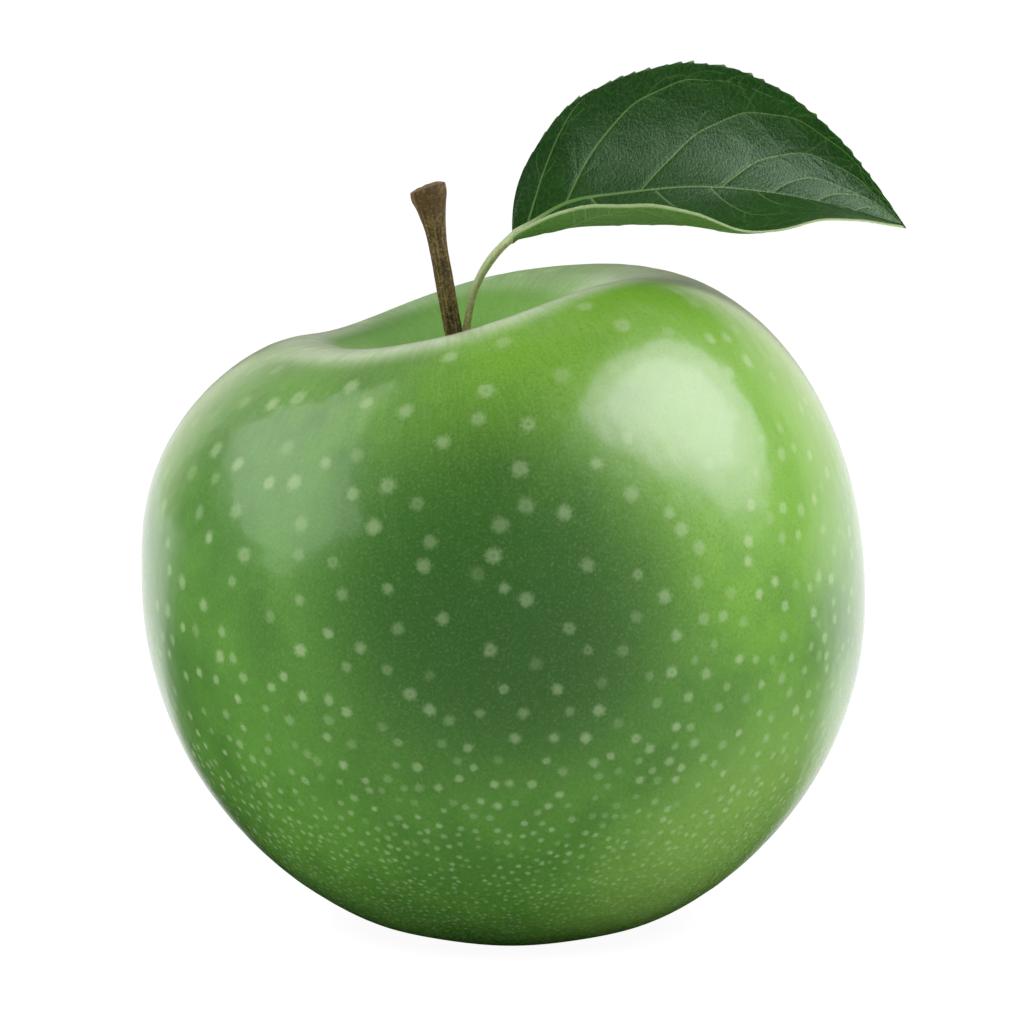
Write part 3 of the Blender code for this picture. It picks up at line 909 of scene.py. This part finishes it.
    ones = np.ones_like(place)
    # pale tips on the far margin's teeth; along the near margin a pale band of painted highlight
    tips = ease(1.15 - rim / 0.30) * saw**3 * 0.8
    band = ease(1.3 - rim / 0.42) * (0.75 + 0.25 * saw)
    marks = {
        "bladePlace": both(stacked(place, out * sides, 0)),
        "mainGap": both(mainGap / np.clip(mainThick, 0.05, 1) * 0.2),
        "twigGap": both(twigGap),
        "ribGap": both(out / np.clip(radius, 0.1, 1) * 0.5),
        "underside": both(0 * ones, ones),
        "paleTipsAndPaintedEdgeLight": both(np.where(sides > 0, tips, band) * onBlade),
        "stalkAlong": both((share / startShare)[:, None] * ones),
    }
    return gridMesh("leaf_blade", both(*faces), marks)


leafLook = {
    "deep": (0.0090, 0.050, 0.0050), "green": (0.018, 0.085, 0.009), "vein": (0.125, 0.255, 0.060),
    "twig": (0.062, 0.160, 0.034), "under": (0.060, 0.155, 0.022), "underVein": (0.13, 0.25, 0.055),
    "margin": (0.42, 0.52, 0.26), "stalk": (0.56, 0.67, 0.38), "stalkShade": (0.37, 0.43, 0.18),
    "stalkBlush": (0.36, 0.22, 0.11),
    "glossyRoughness": 0.27, "mattRoughness": 0.62, "specular": 0.5, "pebbles": (3.6, 2.7, 1.0),
    "more": {"Subsurface Weight": 0.10, "Subsurface Radius": (0.5, 1.0, 0.2),
             "Subsurface Scale": 0.0006},
}


def makeLeafMaterial():
    look = leafLook
    material, tree, shader, place = newMaterial("leaf_green")
    blade = mark(tree, "bladePlace", "Vector")
    under, rim, along = (mark(tree, name) for name in ("underside", "paleTipsAndPaintedEdgeLight", "stalkAlong"))
    mainLine = ramp(mark(tree, "mainGap"), 0.21, 0.05)
    twigLine = ramp(mark(tree, "twigGap"), 0.13, 0.03)
    ribLine = ramp(mark(tree, "ribGap"), 0.40, 0.22)
    tone = mottled(blade, 0.22, 3.0, 1.8)
    speck = mottled(place, 2600.0, 3.0, 1.4)

    # finest net of veins, seen from both sides
    wander = noise(blade, 0.9, 2.0, output="Color")
    bent = vectorMath("MULTIPLY", blade, (1.35, 0.85, 1.0))
    bent = vectorMath("MULTIPLY_ADD", wander, (0.9, 0.9, 0.0), bent)
    net, cells = (addNode(tree, "TexVoronoi", {"Vector": bent, "Scale": scale}, feature=feature,
                          voronoi_dimensions="2D").outputs["Distance"]
                  for scale, feature in ((1.0, "DISTANCE_TO_EDGE"), (2.3, "SMOOTH_F1")))
    netLine = ramp(net, 0.10, 0.015)

    top = mixColors(tone, look["deep"], look["green"])
    top = layColours(top, look, ("twig", ramp(speck, 0.5, 1.0, 0.0, 0.4)),
                     ("twig", times(netLine, 0.30)), ("twig", times(twigLine, 0.55)),
                     ("vein", times(mainLine, 0.85)), ("vein", ribLine))
    # underside: paler green, partly the leaf's own paler underside and partly painted light shining
    # through
    low = layColours(look["under"], look, ("underVein", ramp(speck, 0.3, 0.8, 0.0, 0.35)),
                     ("underVein", times(netLine, 0.35)),
                     ("underVein", times(larger(twigLine, mainLine), 0.75)), ("underVein", ribLine))
    # pale margin: the far teeth's tips, and a painted highlight along the near margin
    colour = layColours(mixColors(under, top, low), look, ("margin", rim))

    # stalk: pale on top, blushed below and near its foot
    fibre = streaked(place, 3000.0, 0.12, 0.48)["Relief"]
    blush = times(larger(ramp(along, 0.55, 0.05), times(under, 0.6)), ramp(speck, 0.2, 0.7, 0.4, 1.0))
    stalk = layColours(look["stalk"], look, ("stalkShade", ramp(fibre, 0.3, 0.7, 0.0, 0.6)),
                       ("stalkBlush", blush))
    ribOnly = larger(ramp(along, 1.003, 0.99), times(ramp(along, 1.5, 0.98), ribLine))

    matt = larger(under, ribOnly)
    rough = ramp(matt, 0.0, 1.0, look["glossyRoughness"], look["mattRoughness"])
    rough = plus(rough, times(speck, 0.10))
    pebbles = noise(vectorMath("MULTIPLY", blade, look["pebbles"]), 1.0, 3.0, 0.6)
    height = plus(times(net, 0.12), times(cells, -0.12), times(pebbles, 1.5), times(speck, 0.22))
    height = minus(height, times(larger(mainLine, twigLine), 0.25))
    finish(shader, look, mixColors(ribOnly, colour, stalk), rough, bumpNormal(height, 0.5, 0.00009))
    return material


addPiece("leaf_blade", makeLeafMesh(), makeLeafMaterial(), "leaf_green", "leaf")
print("leaf made")


# the dried calyx under the fruit

calyx = {
    "sepals": 5, "cupRadius": 2.2, "sepalLength": 5.4, "sepalHalfWidth": 1.15, "sepalThickness": 0.09,
    "stamens": 16, "stamenLength": 2.6, "stamenRadius": 0.07, "antherRadius": 0.17,
}


def sepalGrid(number):
    c = calyx
    draw = np.random.default_rng(31 + number)
    angle = 2 * math.pi * number / c["sepals"] + draw.uniform(-0.12, 0.12)
    rows, columns = 44, 11
    t = np.linspace(0, 1, rows)[:, None]
    v = np.linspace(-1, 1, columns)[None, :]
    curl = draw.uniform(0.9, 1.7)
    lean = 0.25 + t * curl + 0.25 * np.sin(t * 5 + number)
    reach = c["cupRadius"] * 0.85 + np.cumsum(np.sin(lean - 0.5), 0) / rows * c["sepalLength"] * 0.62
    drop = np.cumsum(np.cos(lean - 0.5), 0) / rows * c["sepalLength"] * 0.8
    width = c["sepalHalfWidth"] * (1 - t) ** 0.7 * (1 + 0.3 * np.sin(math.pi * t)) + 0.02
    twist = draw.uniform(-0.7, 0.7) * t
    sideways = width * v
    cup = 0.45 * width * v**2 + 0.07 * np.sin(9 * v + 7 * t + number) * (1 - t * 0.5)
    out = reach - cup + sideways * np.sin(twist) * 0.5
    aside = sideways * np.cos(twist)
    x = out * math.cos(angle) - aside * math.sin(angle)
    y = out * math.sin(angle) + aside * math.cos(angle)
    face = basinRoof + stacked(x, y, -0.05 - drop)
    normal = unit(np.cross(np.gradient(face, axis=0), np.gradient(face, axis=1)))
    half = normal * c["sepalThickness"]
    return np.concatenate([face + half, (face - half)[:, ::-1]], 1)


def tubeGrid(path, radii, segments=8):
    ahead = unit(np.gradient(path, axis=0))
    first = unit(np.cross(ahead, [0.3, 0.2, 0.9]))
    second = np.cross(ahead, first)
    angle = circle(segments)[..., None]
    ring = np.cos(angle) * first[:, None] + np.sin(angle) * second[:, None]
    return path[:, None] + ring * radii[:, None, None]

def makeStamens():
    c = calyx
    draw = np.random.default_rng(41)
    grids = []
    for k in range(c["stamens"]):
        angle = 2 * math.pi * k / c["stamens"] + draw.uniform(-0.15, 0.15)
        length = c["stamenLength"] * draw.uniform(0.7, 1.15)
        t = np.linspace(0, 1, 14)
        reach = 1.35 - 0.8 * t * draw.uniform(0.3, 1.1) + 0.2 * np.sin(t * 4 + k)
        swing = angle + 0.35 * draw.uniform(-1, 1) * t
        path = basinRoof + stacked(reach * np.cos(swing), reach * np.sin(swing), -0.05 - length * t)
        radii = blend(c["stamenRadius"], c["antherRadius"], bell(t - 0.93, 0.07))
        grids.append(tubeGrid(path, radii))
    t = np.linspace(0, 1, 12)
    cup = basinRoof + stacked(0, 0, 0.3 - 1.5 * t)
    radii = c["cupRadius"] * (1 - 0.25 * t) * np.sqrt(np.clip(1 - (t * 0.98) ** 6, 0, 1))
    grids.append(tubeGrid(cup, radii, 40))
    return joinGrids("calyx_stamens", grids)


calyxLook = {
    "dark": (0.030, 0.019, 0.009), "brown": (0.115, 0.072, 0.032), "grey": (0.27, 0.235, 0.15),
    "roughness": 0.9, "specular": 0.2,
}


def makeCalyxMaterial():
    look = calyxLook
    material, _, shader, place = newMaterial("dry_sepal")
    fibre = streaked(place, 2600.0, 0.15, 0.5)
    colour = mixColors(mottled(place, 900.0, 3.0, 2.0), look["dark"], look["brown"])
    colour = layColours(colour, look, ("grey", times(fibre["Lines"], 0.55)))
    finish(shader, look, colour, look["roughness"], bumpNormal(fibre["Relief"], 0.6, 0.00015))
    return material


calyxMaterial = makeCalyxMaterial()
sepals = joinGrids("calyx_sepals", [sepalGrid(k) for k in range(calyx["sepals"])])
addPiece("calyx_sepals", sepals, calyxMaterial, "dry_sepal", "calyx")
addPiece("calyx_stamens", makeStamens(), calyxMaterial, "dry_sepal")
print("calyx made")


# stage and light

stage = {
    "radius": 4.0, "sides": 96, "albedo": 0.85, "roughness": 0.9, "white": 1.03,
    "lift": 0.42, "liftRight": 1.3, "liftRamp": (0.0, 0.10), "darkReach": 0.06, "darkPower": 2.0,
    "shadowReach": 0.004, "shadowDepth": 0.95,
    "mirrorFront": 0.022, "mirrorBack": 1.15, "mirrorStart": 0.38,
}
allButLeaf = ("fruit_skin", "stem_wood", "calyx_sepals", "calyx_stamens")
plain, rosy, leafy = (1.0, 1.0, 1.0), (1.0, 0.80, 1.15), (0.84, 1.0, 0.88)
# name, (azimuth, elevation, roll, distance), (width, height), power, colour, what it adds,
# and the only pieces it falls on
lights = (
    ("key_right", (64, 57, 0, 0.62), (0.60, 0.50), 1.7, plain, "diffuse", None),
    ("side_right_low", (112, 6, 0, 0.62), (0.40, 0.20), 0.5, plain, "diffuse", None),
    ("fill_left", (-88, 15, 0, 0.62), (0.50, 0.50), 2.7, plain, "diffuse", None),
    ("fill_front_low", (24, 0, 0, 0.62), (0.60, 0.12), 0.15, plain, "diffuse", ("fruit_skin",)),
    ("stem_fill", (84, 12, 0, 0.62), (0.30, 0.30), 1.6, plain, "diffuse", ("stem_wood",)),
    ("window_right", (71, 36, -40, 0.62), (0.93, 0.53), 4.1, rosy, "glossy", allButLeaf),
    ("window_right_core", (66, 35, -40, 0.60), (0.60, 0.34), 1.2, rosy, "glossy", allButLeaf),
    ("window_left", (-86, 31.5, -34, 0.62), (0.78, 0.39), 1.35, plain, "glossy", allButLeaf),
    ("leaf_sheen", (54, 60, 0, 0.62), (0.46, 0.34), 2.5, leafy, "glossy", ("leaf_blade",)),
)
roundLights = ("window_right", "window_right_core")
# brightness of the surroundings: as light on surfaces, and as seen in their gloss
studio = {
    "front": 0.12, "back": 0.70, "above": 0.80, "white": 1.03,
    "mirrorFront": 0.015, "mirrorBack": 1.05, "mirrorAbove": 0.05, "mirrorTint": (0.97, 0.97, 0.80),
    "mirrorStart": 0.60, "mirrorFull": 0.88, "rightReach": 0.27, "leftReach": 0.05,
    "straightBack": (0.955, 0.998, 1.0, 0.30), "highUp": (0.20, 0.62, 1.0, 0.35),
}


def makeBackGlow():
    # how much of the bright background a mirrored ray meets: most of it off to both sides
    inputs = {"Vector": None, "Start": studio["mirrorStart"]}
    group, source, target = newGroup("backGlow", inputs, ["Value"])
    flat = vectorMath("NORMALIZE", vectorMath("MULTIPLY", source["Vector"], (1.0, 1.0, 0.0)))
    aside, behind, _ = axes(flat)
    right = times(larger(aside, 0.0), studio["rightReach"])
    left = times(larger(times(aside, -1.0), 0.0), studio["leftReach"])
    glow = ramp(plus(behind, right, left), source["Start"], studio["mirrorFull"])
    setInputs(target, {"Value": times(glow, ramp(behind, *studio["straightBack"]))})
    return group


backGlow = makeBackGlow()


def glowOf(vector, start):
    values = {"Vector": vector, "Start": start}
    return addNode(vector.id_data, "Group", values, node_tree=backGlow).outputs["Value"]


def openness(tree, reach, samples):
    # 1 in the open, less where something stands close by
    return addNode(tree, "AmbientOcclusion", {"Distance": reach}, samples=samples).outputs["AO"]


def makeFloor():
    mesh = bpy.data.meshes.new("floor")
    radius, sides = stage["radius"], stage["sides"]
    ring = [(radius * math.cos(a), radius * math.sin(a), floorZ) for a in circle(sides)[0]]
    mesh.from_pydata(ring, [], [list(range(sides))])
    floor = bpy.data.objects.new("floor", mesh)
    bpy.context.scene.collection.objects.link(floor)
    material, tree, shader, place = newMaterial("floor_white")
    rays = addNode(tree, "LightPath").outputs
    # the floor glows for the rays that light the fruit: painted bounce light, brighter to the right,
    # and darkened close to the fruit as painted shadow
    wide = chain("POWER", openness(tree, stage["darkReach"], 6), stage["darkPower"])
    lift = ramp(axes(place)[0], *stage["liftRamp"], stage["lift"], stage["liftRight"])
    setInputs(shader, {
        "Base Color": (stage["albedo"],) * 3, "Roughness": stage["roughness"],
        "Specular IOR Level": 0.0, "Emission Color": plain, "Emission Strength": times(wide, lift),
    })
    # gloss and camera each see a floor of their own
    # glossy rays see a glowing floor, brighter behind the fruit: painted light for the fruit's gloss,
    # darkened close to the fruit as painted shadow
    glow = glowOf(place, stage["mirrorStart"])
    mirror = times(ramp(glow, 0.0, 1.0, stage["mirrorFront"], stage["mirrorBack"]), wide)
    # camera rays see plain white with a faint painted contact shadow close to the fruit
    close = openness(tree, stage["shadowReach"], 8)
    white = ramp(close, 0.0, 0.95, stage["shadowDepth"], stage["white"])
    seen = shader.outputs[0]
    for ray, strength in (("Is Glossy Ray", mirror), ("Is Camera Ray", white)):
        shine = addNode(tree, "Emission", {"Strength": strength}).outputs[0]
        seen = addNode(tree, "MixShader", {0: rays[ray], 1: seen, 2: shine}).outputs[0]
    setInputs(tree.nodes["Material Output"], {"Surface": seen})
    mesh.materials.append(material)


def makeLights():
    middle = Vector(toWorld([0, 0, 40]))
    for name, place, size, power, colour, adds, only in lights:
        data = bpy.data.lights.new(name, "AREA")
        data.shape = "ELLIPSE" if name in roundLights else "RECTANGLE"
        data.size, data.size_y = size
        data.energy = power
        data.color = colour
        lamp = bpy.data.objects.new(name, data)
        bpy.context.scene.collection.objects.link(lamp)
        azimuth, elevation, roll = (math.radians(angle) for angle in place[:3])
        way = Vector((math.sin(azimuth) * math.cos(elevation), -math.cos(azimuth) * math.cos(elevation),
                      math.sin(elevation)))
        lamp.location = middle + way * place[3]
        turned = (-way).to_track_quat("-Z", "Y") @ Quaternion((0, 0, 1), roll)
        lamp.rotation_euler = turned.to_euler()
        lamp.visible_diffuse = adds == "diffuse"
        lamp.visible_glossy = adds == "glossy"
        if only:
            chosen = bpy.data.collections.new(name + "_on")
            for piece in only:
                chosen.objects.link(bpy.data.objects[piece])
            lamp.light_linking.receiver_collection = chosen


def makeWorld():
    world = bpy.data.worlds.new("studio")
    bpy.context.scene.world = world
    world.use_nodes = True
    world.cycles.sampling_method = "NONE"
    tree = world.node_tree
    way = addNode(tree, "TexCoord").outputs["Generated"]
    _, behind, up = axes(way)
    lit = larger(ramp(behind, -0.3, 0.8, studio["front"], studio["back"]),
                 ramp(up, 0.2, 0.95, 0.0, studio["above"]))
    glow = glowOf(way, studio["mirrorStart"])
    mirrored = ramp(glow, 0.0, 1.0, studio["mirrorFront"], studio["mirrorBack"])
    mirrored = larger(times(mirrored, ramp(up, *studio["highUp"])),
                      ramp(up, 0.4, 0.95, 0.0, studio["mirrorAbove"]))
    mirrored = mixColors(1.0, mirrored, studio["mirrorTint"], "MULTIPLY")
    rays = addNode(tree, "LightPath").outputs
    colour = mixColors(rays["Is Glossy Ray"], lit, mirrored)
    colour = mixColors(rays["Is Camera Ray"], colour, (studio["white"],) * 3)
    setInputs(tree.nodes["Background"], {"Color": colour, "Strength": 1.0})


makeFloor()
makeLights()
makeWorld()
bpy.context.scene.view_settings.view_transform = "Standard"
print("stage and light made")
